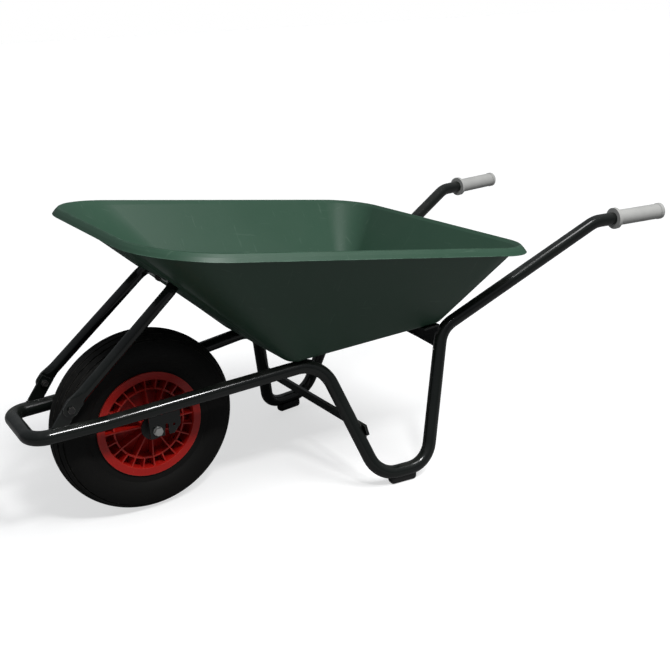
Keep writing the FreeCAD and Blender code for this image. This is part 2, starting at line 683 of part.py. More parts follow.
feature("tray", tray_solid)
feature("front_tray_strap", coped(strap_solid))
feature("rear_cross_member", coped(member_solid))
feature("front_stay", stay_solid)
feature("stay_lug_left", lug_solid)
feature("stay_lug_right", mirrored(lug_solid))
feature("tray_bolts", Part.makeCompound(tray_bolts))
feature("tray_nuts", Part.makeCompound(tray_nuts))
feature("tray_washers", Part.makeCompound(tray_washers))
feature("stay_bolts", Part.makeCompound(stay_bolts))
feature("stay_nuts", Part.makeCompound(stay_nuts))

# ---------------------------------------------------------------- axle brackets and axle

hub = Vector(size("wheel_x"), 0, size("tyre_radius"))


def axle_plate():
    """Plate hanging inside the frame tube, with a spare open slot and a hole."""
    front = -size("plate_front")
    lobe = -size("plate_lobe")
    slot_middle = (size("slot_front") + size("slot_rear")) / 2
    slot_radius = (size("slot_rear") - size("slot_front")) / 2
    corners = [
        Vector(front, 0, size("plate_top")), Vector(size("plate_rear"), 0, size("plate_top")),
        Vector(size("plate_rear"), 0, size("plate_cut_height")),
        Vector(size("plate_rear") - size("plate_cut_length"), 0, lobe),
        Vector(front, 0, lobe), Vector(front, 0, size("plate_top")),
    ]
    plate = Part.Face(Part.makePolygon(corners)).extrude(Vector(0, size("plate_thickness"), 0))
    depth = 4 * size("plate_thickness")
    slot_bottom = size("slot_top") - slot_radius - size("slot_length")
    slot = Part.makeBox(slot_radius * 2, depth, size("slot_length"),
                        Vector(size("slot_front"), -depth / 2, slot_bottom))
    slot_end = Part.makeCylinder(slot_radius, depth,
                                 Vector(slot_middle, -depth / 2, size("slot_top") - slot_radius),
                                 Vector(0, 1, 0))
    spare = Part.makeCylinder(size("plate_hole_radius"), depth,
                              Vector(size("plate_hole_x"), -depth / 2, size("plate_hole_z")),
                              Vector(0, 1, 0))
    axle_hole = Part.makeCylinder(size("axle_radius"), depth, Vector(0, -depth / 2, 0),
                                  Vector(0, 1, 0))
    plate = plate.cut([slot, slot_end, spare, axle_hole])
    plate.translate(Vector(0, -size("plate_y") - size("plate_thickness"), 0) + hub)
    top_flange = Part.makeBox(size("plate_front") + size("plate_rear"), size("plate_flange"),
                              size("plate_thickness"))
    top_flange.translate(hub + Vector(front, -size("plate_y") - size("plate_flange"),
                                      size("plate_top") - size("plate_thickness")))
    return coped(plate.fuse(top_flange))


plate_solid = axle_plate()
feature("axle_plate_left", plate_solid)
feature("axle_plate_right", mirrored(plate_solid))

along_axle = Vector(0, 1, 0)
plate_outside = size("plate_y") + size("plate_thickness")
stack_outside = plate_outside + size("washer_thickness")
big_washer = washer(size("washer_radius"), size("washer_thickness"), size("axle_radius"))
axle_head = chamfered_hexagon(size("axle_across_corners"), size("axle_head_height"))
axle_length = 2 * stack_outside + size("axle_nut_height") + size("axle_tail")
axle_shank = Part.makeCylinder(size("axle_radius"), axle_length, Vector(0, 0, -axle_length))
axle_bolt = placed(axle_head.fuse(axle_shank), hub - along_axle * stack_outside, along_axle * -1)
feature("axle_bolt", axle_bolt)
axle_nut = chamfered_hexagon(size("axle_across_corners"), size("axle_nut_height"))
axle_nut = axle_nut.cut(Part.makeCylinder(size("axle_radius"), size("axle_nut_height")))
feature("axle_nut", placed(axle_nut, hub + along_axle * stack_outside, along_axle))
feature("axle_washers", Part.makeCompound([
    placed(big_washer, hub + along_axle * plate_outside, along_axle),
    placed(big_washer, hub - along_axle * plate_outside, along_axle * -1),
]))
spacer_start = size("hub_half_width") + size("bush_flange") + size("side_play")
spacer = washer(size("spacer_radius"), size("plate_y") - spacer_start, size("axle_radius"))
feature("axle_spacers", Part.makeCompound([
    placed(spacer, hub + along_axle * spacer_start, along_axle),
    placed(spacer, hub - along_axle * spacer_start, along_axle * -1),
]))

# ---------------------------------------------------------------- wheel

hub_place = Placement(hub, Rotation())
cell("flange_back", size("flange_half_width") - size("flange_thickness"))
cell("cone_outer_top", size("pocket_floor") + 1.0)
cell("cone_inner_top", size("pocket_floor") + size("cone_rise"))
cell("rib_hub_end", size("hub_half_width") - 12.0)
cell("rib_start", size("hub_radius") - 1.5)
cell("rib_ring_end", size("ring_outer") - 1.0)
cell("pocket_start", size("ring_inner") + 1.0)
cell("pocket_end", size("bead_radius") - 1.0)
cell("ring_edge", size("ring_half_width") + 2.0)
doc.recompute()

wheel = new_body("wheel_centre")
wheel_sketch = new_sketch(wheel, "XY_Plane", "wheel_profile")
outline(wheel_sketch, (
    ("hub_bore", "hub_half_width"), ("hub_radius", "hub_half_width"),
    ("hub_radius", "cone_inner_top"), ("ring_inner", "cone_outer_top"),
    ("ring_inner", "ring_half_width"), ("ring_outer", "ring_half_width"),
    ("ring_outer", "pocket_floor"), ("barrel_inner", "pocket_floor"),
    ("barrel_inner", "flange_back"), ("flange_inner", "flange_half_width"),
    ("flange_radius", "flange_half_width"), ("flange_radius", "flange_back"),
    ("bead_radius", "flange_back"), ("bead_radius", "-flange_back"),
    ("flange_radius", "-flange_back"), ("flange_radius", "-flange_half_width"),
    ("flange_inner", "-flange_half_width"), ("barrel_inner", "-flange_back"),
    ("barrel_inner", "-pocket_floor"), ("ring_outer", "-pocket_floor"),
    ("ring_outer", "-ring_half_width"), ("ring_inner", "-ring_half_width"),
    ("ring_inner", "-cone_outer_top"), ("hub_radius", "-cone_inner_top"),
    ("hub_radius", "-hub_half_width"), ("hub_bore", "-hub_half_width"),
))
revolve(wheel, wheel_sketch)


def wheel_ribs(label, corners, count):
    """One flat radial rib through both sides of the wheel, repeated round the hub."""
    sketch = new_sketch(wheel, "XY_Plane", label + "_profile")
    outline(sketch, corners)
    pad = wheel.newObject("PartDesign::Pad", label)
    pad.Profile = sketch
    pad.setExpression("Length", "Sizes.rib_thickness")
    pad.Midplane = True
    doc.recompute()
    pattern = wheel.newObject("PartDesign::PolarPattern", label + "_ring")
    pattern.Originals = [pad]
    pattern.Axis = (sketch, ["V_Axis"])
    pattern.Angle = 360.0
    pattern.Occurrences = count
    wheel.Tip = pattern
    doc.recompute()
    return pattern


wheel_ribs("pocket_rib", (("pocket_start", "pocket_rib_depth"), ("pocket_end", "pocket_rib_depth"),
                          ("pocket_end", "-pocket_rib_depth"), ("pocket_start", "-pocket_rib_depth")),
           24)
wheel_ribs("hub_rib", (("rib_start", "rib_hub_end"), ("rib_ring_end", "ring_edge"),
                       ("rib_ring_end", "-ring_edge"), ("rib_start", "-rib_hub_end")), 12)
wheel.Placement = hub_place
doc.recompute()

valve_turn = Rotation(Vector(0, 1, 0), -size("valve_angle"))
valve_line = valve_turn.multVec(Vector(1, 0, 0))
valve_seat = hub + Vector(0, -size("valve_y"), 0)
valve_hole = Part.makeCylinder(size("valve_radius") + size("valve_hole_gap"), size("valve_hole_length"),
                               valve_seat + valve_line * size("valve_hole_start"), valve_line)
valve_room = Part.makeCylinder(size("valve_cap_radius") + size("valve_room_gap"),
                               size("barrel_inner") - size("valve_room_start"),
                               valve_seat + valve_line * size("valve_room_start"), valve_line)
wheel_solid = wheel.Shape.cut([valve_hole, valve_room])
wheel.Label = "wheel_blank"
doc.recompute()
feature("wheel_centre", wheel_solid)

valve = Part.makeCylinder(size("valve_radius"), size("valve_base") - size("valve_tip"),
                          valve_seat + valve_line * size("valve_tip"), valve_line)
cap_start = valve_seat + valve_line * (size("valve_tip") - size("valve_cap_tip"))
valve_cap = Part.makeCylinder(size("valve_cap_radius"), size("valve_cap_length"), cap_start, valve_line)
feature("valve", valve.fuse(valve_cap))


def tyre_arc(section, half_width, start_radius):
    """Half-round tread section, as points from the left bead over the crown."""
    centre = size("tyre_radius") - size("tyre_section")
    low = math.asin(max(-1.0, (start_radius - centre) / section))
    points = []
    steps = 28
    for step in range(steps + 1):
        angle = low + (math.pi - 2 * low) * step / steps
        points.append(Vector(centre + section * math.sin(angle), -half_width * math.cos(angle), 0))
    return points


def ring_of(points):
    spline = Part.BSplineCurve()
    spline.interpolate(points)
    return spline.toShape()


outer_arc = tyre_arc(size("tyre_section"), size("tyre_half_width"), size("sidewall_radius"))
inner_arc = tyre_arc(size("tyre_section") - size("tyre_wall"),
                     size("tyre_half_width") - size("tyre_wall"), size("liner_radius"))
bead_outside = size("bead_half_width")
bead_inside = bead_outside - size("bead_thickness")


def bead(side):
    """From the sidewall down over one bead and up to the liner, in order."""
    return [Vector(size("flange_radius") + 0.6, side * bead_outside, 0),
            Vector(size("bead_radius"), side * bead_outside, 0),
            Vector(size("bead_radius"), side * bead_inside, 0)]


right_bead = Part.makePolygon([outer_arc[-1]] + bead(1) + [inner_arc[-1]])
left_bead = Part.makePolygon([outer_arc[0]] + bead(-1) + [inner_arc[0]])
tyre_edges = [ring_of(outer_arc), ring_of(inner_arc)] + right_bead.Edges + left_bead.Edges
tyre_face = Part.Face(Part.Wire(Part.__sortEdges__(tyre_edges)))
tyre_solid = tyre_face.revolve(Vector(0, 0, 0), Vector(0, 1, 0), 360)
centre_radius = size("tyre_radius") - size("tyre_section")
for groove in range(-3, 4):
    tilt = math.radians(groove * 17.0)
    crown = Vector(centre_radius + size("tyre_section") * math.cos(tilt),
                   size("tyre_half_width") * math.sin(tilt), 0)
    normal = Vector(math.cos(tilt), math.sin(tilt), 0)
    side_way = Vector(-normal.y, normal.x, 0) * (size("groove_width") / 2)
    deep = normal * size("groove_depth")
    corners = [crown + side_way * 1.5 + normal, crown - side_way * 1.5 + normal,
               crown - side_way * 0.7 - deep, crown + side_way * 0.7 - deep]
    groove_face = Part.Face(Part.makePolygon(corners + [corners[0]]))
    tyre_solid = tyre_solid.cut(groove_face.revolve(Vector(0, 0, 0), Vector(0, 1, 0), 360))
feature("tyre", tyre_solid, hub_place)

air_centre = size("tube_ring_radius")
air_outside = Part.makeTorus(air_centre, size("air_radius"))
air_inside = Part.makeTorus(air_centre, size("air_radius") - size("air_wall"))
lay_flat = Placement(hub, Rotation(Vector(1, 0, 0), 90))
feature("inner_tube", air_outside.cut(air_inside), lay_flat)

cell("bush_bore", size("axle_radius") + size("axle_clearance"))
cell("bush_end", size("hub_half_width") + size("bush_flange"))
cell("bush_start", size("hub_half_width") - size("bush_length"))
doc.recompute()
bush = new_body("bush_blank")
bush_sketch = new_sketch(bush, "XY_Plane", "bush_profile")
outline(bush_sketch, (
    ("bush_bore", "bush_start"), ("hub_bore", "bush_start"), ("hub_bore", "hub_half_width"),
    ("bush_flange_radius", "hub_half_width"), ("bush_flange_radius", "bush_end"),
    ("bush_bore", "bush_end"),
))
revolve(bush, bush_sketch)
doc.recompute()
bush_right = bush.Shape.copy()
bush_left = mirrored(bush_right)
feature("hub_bushes", Part.makeCompound([bush_right, bush_left]), hub_place)

# ---------------------------------------------------------------- check and write

SUB_PARTS = (
    "front_loop", "side_tube_left", "side_tube_right", "grip_left", "grip_right",
    "foot_pad_left", "foot_pad_right", "leg_brace", "tray", "front_tray_strap",
    "rear_cross_member", "front_stay", "stay_lug_left", "stay_lug_right", "stay_bolts",
    "stay_nuts", "tray_bolts", "tray_nuts", "tray_washers", "axle_plate_left",
    "axle_plate_right", "axle_bolt", "axle_nut", "axle_washers", "axle_spacers",
    "wheel_centre", "valve", "tyre", "inner_tube", "hub_bushes",
)
doc.recompute()
for item in doc.Objects:
    if "Invalid" in item.State or "Error" in item.State:
        raise RuntimeError(item.Label + " did not build")
os.makedirs("parts", exist_ok=True)
for label in SUB_PARTS:
    shape = doc.getObjectsByLabel(label)[0].Shape
    if shape.isNull() or not shape.isValid():
        raise RuntimeError(label + " has no valid shape")
    shape.exportStep("parts/" + label + ".step")
    box = shape.BoundBox
    print("%-20s solids %d  volume %9.0f  x %7.1f %7.1f  y %7.1f %7.1f  z %7.1f %7.1f" % (
        label, len(shape.Solids), shape.Volume, box.XMin, box.XMax, box.YMin, box.YMax,
        box.ZMin, box.ZMax))
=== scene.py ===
# %% [markdown]
# # A single-wheel garden barrow
# The barrow's hard parts come ready shaped, one object per piece. This notebook gives them
# their finishes, adds small made-in-place details, and sets up a plain studio round them.
# Every object already stands where it belongs, in metres: X runs from the wheel to the
# handles, Y across, and Z up from the floor.

# %% Load the shaped parts
import json
import math
import bmesh
import bpy
from mathutils import Matrix, Vector
from mathutils.bvhtree import BVHTree


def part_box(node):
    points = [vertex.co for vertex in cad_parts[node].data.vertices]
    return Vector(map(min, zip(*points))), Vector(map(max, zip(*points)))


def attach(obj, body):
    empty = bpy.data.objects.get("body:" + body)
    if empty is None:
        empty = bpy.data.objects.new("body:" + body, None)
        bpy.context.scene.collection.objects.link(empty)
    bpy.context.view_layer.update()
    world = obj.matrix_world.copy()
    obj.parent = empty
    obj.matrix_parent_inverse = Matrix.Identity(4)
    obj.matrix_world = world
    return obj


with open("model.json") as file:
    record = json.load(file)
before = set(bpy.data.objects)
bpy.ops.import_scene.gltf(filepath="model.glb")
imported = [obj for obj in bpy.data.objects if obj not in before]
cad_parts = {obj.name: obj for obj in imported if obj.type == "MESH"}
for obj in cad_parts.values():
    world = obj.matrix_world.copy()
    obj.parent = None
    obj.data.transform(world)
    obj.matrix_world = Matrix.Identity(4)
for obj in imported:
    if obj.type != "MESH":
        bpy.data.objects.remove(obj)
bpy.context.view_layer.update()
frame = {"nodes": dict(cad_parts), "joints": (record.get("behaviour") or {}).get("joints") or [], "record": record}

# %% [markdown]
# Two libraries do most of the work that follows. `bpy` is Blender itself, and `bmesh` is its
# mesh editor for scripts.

parts = frame["nodes"]

# %% [markdown]
# ## Camera
# A camera looks along its own -Z axis. Aiming it with a constraint would be quick, but a
# hand-held view is never quite level, so the heading, the downward tilt and the small roll
# are given one by one and turned into a matrix. The lens is a short portrait lens, which
# keeps the front wheel from looking too large.

# %% Camera
camera_place = Vector((-1.1132, -1.8043, 1.0193))
camera_heading = math.radians(32.16)
camera_tilt = math.radians(19.36)
camera_roll = math.radians(-2.57)

look = Vector((math.sin(camera_heading) * math.cos(camera_tilt),
               math.cos(camera_heading) * math.cos(camera_tilt),
               -math.sin(camera_tilt)))
level = Vector((math.cos(camera_heading), -math.sin(camera_heading), 0))
upright = level.cross(look)
side = level * math.cos(camera_roll) + upright * math.sin(camera_roll)
top = upright * math.cos(camera_roll) - level * math.sin(camera_roll)

lens = bpy.data.cameras.new("view")
lens.sensor_width = 36
lens.lens = 50.96
lens.shift_x = -0.0119
lens.shift_y = 0.0012
camera = bpy.data.objects.new("camera", lens)
bpy.context.scene.collection.objects.link(camera)
camera.matrix_world = Matrix((
    (side.x, top.x, -look.x, camera_place.x),
    (side.y, top.y, -look.y, camera_place.y),
    (side.z, top.z, -look.z, camera_place.z),
    (0, 0, 0, 1)))
bpy.context.scene.camera = camera
print("camera at", [round(v, 2) for v in camera_place])

# %% [markdown]
# ## Helpers for node materials
# A material is a small network. These two helpers add a node with its settings, and a
# wire, so that each finish below reads as a short list of what feeds what.

# %% Node helpers
def add(tree, kind, **settings):
    """Add a node. A setting named after an input sets that input's value."""
    node = tree.nodes.new(kind)
    for name, value in settings.items():
        if name in node.inputs:
            node.inputs[name].default_value = value
        else:
            setattr(node, name, value)
    return node


def wire(tree, start, end):
    tree.links.new(start, end)
    return end


def blank(name):
    """A new material holding only its output."""
    made = bpy.data.materials.new(name)
    made.use_nodes = True
    made.node_tree.nodes.clear()
    return made, made.node_tree, made.node_tree.nodes.new("ShaderNodeOutputMaterial")


view = bpy.context.scene.view_settings
view.view_transform = "Standard"
print("view transform:", view.view_transform)

# %% [markdown]
# ## Floor
# The floor is one large square, far wider than the view. It glows a little, so that the
# shadow on it stays pale and soft, but only to the eye: a `Light Path` node gives rays from
# the camera this bright surface and all other rays a grey one. The underside of the barrow
# then stays as deep as it does on a studio table.

# %% Floor
floor_reach = 40.0
floor_mesh = bpy.data.meshes.new("floor")
shape = bmesh.new()
bmesh.ops.create_grid(shape, x_segments=1, y_segments=1, size=floor_reach)
shape.to_mesh(floor_mesh)
shape.free()
floor = bpy.data.objects.new("floor", floor_mesh)
bpy.context.scene.collection.objects.link(floor)

floor_finish, tree, out = blank("pale floor")
glow = add(tree, "ShaderNodeEmission", Color=(1, 1, 1, 1), Strength=0.62)
matte = add(tree, "ShaderNodeBsdfDiffuse", Color=(0.5, 0.5, 0.5, 1))
seen = add(tree, "ShaderNodeAddShader")
wire(tree, glow.outputs[0], seen.inputs[0])
wire(tree, matte.outputs[0], seen.inputs[1])
unseen = add(tree, "ShaderNodeBsdfDiffuse", Color=(0.20, 0.20, 0.20, 1))
path = add(tree, "ShaderNodeLightPath")
mix = add(tree, "ShaderNodeMixShader")
wire(tree, path.outputs["Is Camera Ray"], mix.inputs[0])
wire(tree, unseen.outputs[0], mix.inputs[1])
wire(tree, seen.outputs[0], mix.inputs[2])
wire(tree, mix.outputs[0], out.inputs["Surface"])
floor_mesh.materials.append(floor_finish)
print("floor", 2 * floor_reach, "m wide")

# %% [markdown]
# ## Light
# Four sources, as in a plain studio. A broad sun models the tray and lights the floor
# evenly right to the horizon; it is hidden from reflections, since its wide disc would
# smear grey over every tube. A small soft box stands high on the camera's side. The tray
# overhangs the front tubes, so only light from this side can reach in under the lip and
# draw a thin bright line along them. A weaker panel further back lies where the tray's far
# wall mirrors it, and gives that wall its pale sheen. A dim sky fills the shadows, a little
# brighter overhead than at the horizon.

# %% Lamps
def aimed(obj, place, target):
    obj.location = place
    obj.rotation_euler = (Vector(target) - Vector(place)).to_track_quat("-Z", "Y").to_euler()


sun = bpy.data.lights.new("sun", "SUN")
sun.energy = 2.1
sun.angle = math.radians(30)
sun_lamp = bpy.data.objects.new("sun", sun)
sun_lamp.visible_glossy = False
bpy.context.scene.collection.objects.link(sun_lamp)
aimed(sun_lamp, (0.9, -1.35, 2.55), (0, 0, 0))

box = bpy.data.lights.new("soft box", "AREA")
box.shape = "RECTANGLE"
box.size = 0.34
box.size_y = 0.26
box.energy = 26
box_lamp = bpy.data.objects.new("soft box", box)
bpy.context.scene.collection.objects.link(box_lamp)
aimed(box_lamp, (-0.30, -1.62, 2.27), (-0.30, -0.05, 0.3))

panel = bpy.data.lights.new("tray panel", "AREA")
panel.shape = "SQUARE"
panel.size = 0.6
panel.energy = 11
panel_lamp = bpy.data.objects.new("tray panel", panel)
bpy.context.scene.collection.objects.link(panel_lamp)
aimed(panel_lamp, (0.45, -1.05, 2.5), (-0.3, 0.2, 0.5))

sky = bpy.data.worlds.new("dim sky")
sky.use_nodes = True
tree = sky.node_tree
tree.nodes.clear()
out = tree.nodes.new("ShaderNodeOutputWorld")
place = add(tree, "ShaderNodeTexCoord")
heights = add(tree, "ShaderNodeSeparateXYZ")
wire(tree, place.outputs["Generated"], heights.inputs[0])
shade = add(tree, "ShaderNodeMapRange")
shade.inputs["From Min"].default_value = -0.1
shade.inputs["From Max"].default_value = 1.0
shade.inputs["To Min"].default_value = 0.10
shade.inputs["To Max"].default_value = 0.29
wire(tree, heights.outputs["Z"], shade.inputs["Value"])
fill = add(tree, "ShaderNodeBackground", Color=(0.9, 0.95, 1.0, 1))
wire(tree, shade.outputs["Result"], fill.inputs["Strength"])
white = add(tree, "ShaderNodeBackground", Color=(1, 1, 1, 1), Strength=1.0)
path = add(tree, "ShaderNodeLightPath")
mix = add(tree, "ShaderNodeMixShader")
wire(tree, path.outputs["Is Camera Ray"], mix.inputs[0])
wire(tree, fill.outputs[0], mix.inputs[1])
wire(tree, white.outputs[0], mix.inputs[2])
wire(tree, mix.outputs[0], out.inputs["Surface"])
bpy.context.scene.world = sky
print("sun", sun.energy, "box", box.energy)

# %% [markdown]
# ## Shared effects
# Four effects turn up in several finishes, so each is a node group, built once and placed
# wherever it is needed with its own numbers. A group only hands out masks, heights and
# shades. The shader itself stays in the material.

# %% Making a group
def group(name, inputs, outputs):
    """A node group with named number inputs and number outputs."""
    made = bpy.data.node_groups.new(name, "ShaderNodeTree")
    for label, value in inputs:
        socket = made.interface.new_socket(label, in_out="INPUT", socket_type="NodeSocketFloat")
        socket.default_value = value
    for label in outputs:
        made.interface.new_socket(label, in_out="OUTPUT", socket_type="NodeSocketFloat")
    return made, made.nodes.new("NodeGroupInput"), made.nodes.new("NodeGroupOutput")


def maths(tree, operation, *values, clamp=False):
    """A Math node. Each value is a number or another node's output."""
    node = tree.nodes.new("ShaderNodeMath")
    node.operation = operation
    node.use_clamp = clamp
    for socket, value in zip(node.inputs, values):
        if isinstance(value, (int, float)):
            socket.default_value = value
        else:
            tree.links.new(value, socket)
    return node.outputs[0]


# %% [markdown]
# **Worn edges.** Paint and plastic wear first where they stand proud. A Bevel node rounds
# the normal near an edge, so where the rounded and the true normal part company, there is
# an edge. A noise breaks the line up, because wear is never even.

# %% Worn edges
worn, given, result = group("worn edges", [("Reach", 0.001), ("Amount", 1.0), ("Patch Scale", 60.0)],
                            ["Wear"])
rounded = add(worn, "ShaderNodeBevel", samples=4)
wire(worn, given.outputs["Reach"], rounded.inputs["Radius"])
surface = add(worn, "ShaderNodeNewGeometry")
agree = add(worn, "ShaderNodeVectorMath", operation="DOT_PRODUCT")
wire(worn, rounded.outputs[0], agree.inputs[0])
wire(worn, surface.outputs["Normal"], agree.inputs[1])
place = add(worn, "ShaderNodeTexCoord")
patches = add(worn, "ShaderNodeTexNoise", Detail=6.0, Roughness=0.65)
wire(worn, place.outputs["Object"], patches.inputs["Vector"])
wire(worn, given.outputs["Patch Scale"], patches.inputs["Scale"])
edge = maths(worn, "MULTIPLY", maths(worn, "SUBTRACT", 1.0, agree.outputs["Value"]), 9.0)
broken = maths(worn, "MULTIPLY", maths(worn, "SUBTRACT", patches.outputs["Fac"], 0.42), 6.0, clamp=True)
wear = maths(worn, "MULTIPLY", maths(worn, "MULTIPLY", edge, broken), given.outputs["Amount"], clamp=True)
wire(worn, wear, result.inputs["Wear"])
print("group:", worn.name)

# %% [markdown]
# **Fine grain.** Moulded plastic, rubber and paint all have a skin: two noises, one for
# the grain itself and one many times larger for the slow drift in shade.

# %% Fine grain
grain, given, result = group("fine grain", [("Grain Scale", 900.0), ("Drift Scale", 7.0)],
                             ["Height", "Drift"])
place = add(grain, "ShaderNodeTexCoord")
skin = add(grain, "ShaderNodeTexNoise", Detail=2.0, Roughness=0.5)
drift = add(grain, "ShaderNodeTexNoise", Detail=4.0, Roughness=0.55)
for texture, scale in ((skin, "Grain Scale"), (drift, "Drift Scale")):
    wire(grain, place.outputs["Object"], texture.inputs["Vector"])
    wire(grain, given.outputs[scale], texture.inputs["Scale"])
wire(grain, skin.outputs["Fac"], result.inputs["Height"])
wire(grain, drift.outputs["Fac"], result.inputs["Drift"])
print("group:", grain.name)

# %% [markdown]
# **Scratches.** A noise stretched until it is a field of long hairs. Two such fields, one
# turned, and only their sharp peaks kept, read as the light marks of use.

# %% Scratches
scored, given, result = group("scratches", [("Scale", 40.0), ("Amount", 1.0)], ["Marks"])
place = add(scored, "ShaderNodeTexCoord")
fields = []
for turn, stretch in ((0.5, (1.0, 14.0, 1.0)), (-0.9, (12.0, 1.0, 1.5))):
    lay = add(scored, "ShaderNodeMapping")
    lay.inputs["Rotation"].default_value = (turn, turn * 0.7, turn * 1.9)
    lay.inputs["Scale"].default_value = stretch
    hairs = add(scored, "ShaderNodeTexNoise", Detail=3.0, Roughness=0.6)
    wire(scored, place.outputs["Object"], lay.inputs["Vector"])
    wire(scored, lay.outputs[0], hairs.inputs["Vector"])
    wire(scored, given.outputs["Scale"], hairs.inputs["Scale"])
    fields.append(maths(scored, "MULTIPLY", maths(scored, "SUBTRACT", hairs.outputs["Fac"], 0.66), 14.0,
                        clamp=True))
marks = maths(scored, "MULTIPLY", maths(scored, "MAXIMUM", *fields), given.outputs["Amount"], clamp=True)
wire(scored, marks, result.inputs["Marks"])
print("group:", scored.name)

# %% [markdown]
# **Dust.** It settles on what faces up and clings in patches, so the mask is the upward
# part of the surface normal times a noise.

# %% Dust
dusty, given, result = group("dust", [("Amount", 1.0), ("Patch Scale", 14.0)], ["Dust"])
surface = add(dusty, "ShaderNodeNewGeometry")
parts_of = add(dusty, "ShaderNodeSeparateXYZ")
wire(dusty, surface.outputs["Normal"], parts_of.inputs[0])
place = add(dusty, "ShaderNodeTexCoord")
cloud = add(dusty, "ShaderNodeTexNoise", Detail=7.0, Roughness=0.7)
wire(dusty, place.outputs["Object"], cloud.inputs["Vector"])
wire(dusty, given.outputs["Patch Scale"], cloud.inputs["Scale"])
facing_up = maths(dusty, "POWER", maths(dusty, "MAXIMUM", parts_of.outputs["Z"], 0.0), 2.0)
patchy = maths(dusty, "MULTIPLY", maths(dusty, "SUBTRACT", cloud.outputs["Fac"], 0.35), 2.5, clamp=True)
film = maths(dusty, "MULTIPLY", maths(dusty, "MULTIPLY", facing_up, patchy), given.outputs["Amount"],
             clamp=True)
wire(dusty, film, result.inputs["Dust"])
print("group:", dusty.name)


# %% [markdown]
# Placing a group in a material, and mixing two colours by a mask, are the two moves that
# every finish below repeats.

# %% Placing a group and mixing colours
def place_group(tree, source, **values):
    node = tree.nodes.new("ShaderNodeGroup")
    node.node_tree = source
    for label, value in values.items():
        node.inputs[label.replace("_", " ")].default_value = value
    return node


def blend_colours(tree, mask, first, second):
    """first where the mask is 0, second where it is 1. Each is a colour or an output."""
    node = tree.nodes.new("ShaderNodeMix")
    node.data_type = "RGBA"
    tree.links.new(mask, node.inputs["Factor"])
    for socket, value in ((node.inputs[6], first), (node.inputs[7], second)):
        if isinstance(value, tuple):
            socket.default_value = (*value, 1.0)
        else:
            tree.links.new(value, socket)
    return node.outputs[2]


def bumped(tree, height, strength, distance):
    node = add(tree, "ShaderNodeBump", Strength=strength, Distance=distance)
    tree.links.new(height, node.inputs["Height"])
    return node.outputs[0]


# %% [markdown]
# ## Gloss black frame paint
# The tubes, the stay and the brackets are dipped or powder coated: nearly black with a
# green cast, shiny, with the faint ripple called orange peel. It chips to grey at the
# edges and gathers dust on top. The front loop meets each side tube end to end under the
# lugs, a joint that is not there in the steel, so the wear is switched off close to it.

# %% Frame paint
loop_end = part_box("side_tube_left")[0][0]
joint_margin = 0.006
frame_paint, tree, out = blank("gloss black frame paint")
paint = add(tree, "ShaderNodeBsdfPrincipled")
paint.inputs["Coat Weight"].default_value = 0.3
paint.inputs["Coat Roughness"].default_value = 0.06
paint.inputs["Specular IOR Level"].default_value = 0.4
skin = place_group(tree, grain, Grain_Scale=420.0, Drift_Scale=9.0)
edges = place_group(tree, worn, Reach=0.0012, Patch_Scale=90.0)
place = add(tree, "ShaderNodeTexCoord")
along = add(tree, "ShaderNodeSeparateXYZ")
wire(tree, place.outputs["Object"], along.inputs[0])
from_joint = maths(tree, "ABSOLUTE", maths(tree, "SUBTRACT", along.outputs["X"], loop_end))
clear_of_joint = maths(tree, "GREATER_THAN", from_joint, joint_margin)
wire(tree, maths(tree, "MULTIPLY", clear_of_joint, 0.7), edges.inputs["Amount"])
marks = place_group(tree, scored, Scale=34.0, Amount=0.35)
film = place_group(tree, dusty, Amount=0.16, Patch_Scale=22.0)
deep = blend_colours(tree, skin.outputs["Drift"], (0.0035, 0.0048, 0.0040), (0.0065, 0.0085, 0.0074))
chipped = blend_colours(tree, edges.outputs["Wear"], deep, (0.11, 0.11, 0.105))
powdered = blend_colours(tree, film.outputs["Dust"], chipped, (0.16, 0.155, 0.14))
wire(tree, powdered, paint.inputs["Base Color"])
dull = maths(tree, "MULTIPLY_ADD", skin.outputs["Drift"], 0.10, 0.12)
dull = maths(tree, "ADD", dull, maths(tree, "MULTIPLY", marks.outputs["Marks"], 0.25))
dull = maths(tree, "ADD", dull, maths(tree, "MULTIPLY", film.outputs["Dust"], 0.9), clamp=True)
wire(tree, dull, paint.inputs["Roughness"])
wire(tree, bumped(tree, skin.outputs["Height"], 0.05, 0.0003), paint.inputs["Normal"])
wire(tree, paint.outputs[0], out.inputs["Surface"])
print("finish:", frame_paint.name)

# %% [markdown]
# ## Green tray plastic
# The tray is one moulding in dark green polypropylene. Up close the skin is satin, with
# a fine grain. It scuffs pale where loads have scraped it, most of all along the lip.

# %% Tray plastic
tray_plastic, tree, out = blank("dark green tray plastic")
plastic = add(tree, "ShaderNodeBsdfPrincipled")
skin = place_group(tree, grain, Grain_Scale=1100.0, Drift_Scale=4.5)
edges = place_group(tree, worn, Reach=0.003, Amount=0.45, Patch_Scale=35.0)
marks = place_group(tree, scored, Scale=11.0, Amount=0.30)
film = place_group(tree, dusty, Amount=0.10, Patch_Scale=7.0)
green = blend_colours(tree, skin.outputs["Drift"], (0.020, 0.058, 0.034), (0.028, 0.074, 0.046))
scuffed = blend_colours(tree, edges.outputs["Wear"], green, (0.10, 0.19, 0.14))
scored_green = blend_colours(tree, marks.outputs["Marks"], scuffed, (0.09, 0.15, 0.11))
powdered = blend_colours(tree, film.outputs["Dust"], scored_green, (0.16, 0.18, 0.15))
wire(tree, powdered, plastic.inputs["Base Color"])
satin = maths(tree, "MULTIPLY_ADD", skin.outputs["Drift"], 0.16, 0.36)
satin = maths(tree, "ADD", satin, maths(tree, "MULTIPLY", film.outputs["Dust"], 0.6), clamp=True)
wire(tree, satin, plastic.inputs["Roughness"])
wire(tree, bumped(tree, skin.outputs["Height"], 0.16, 0.0003), plastic.inputs["Normal"])
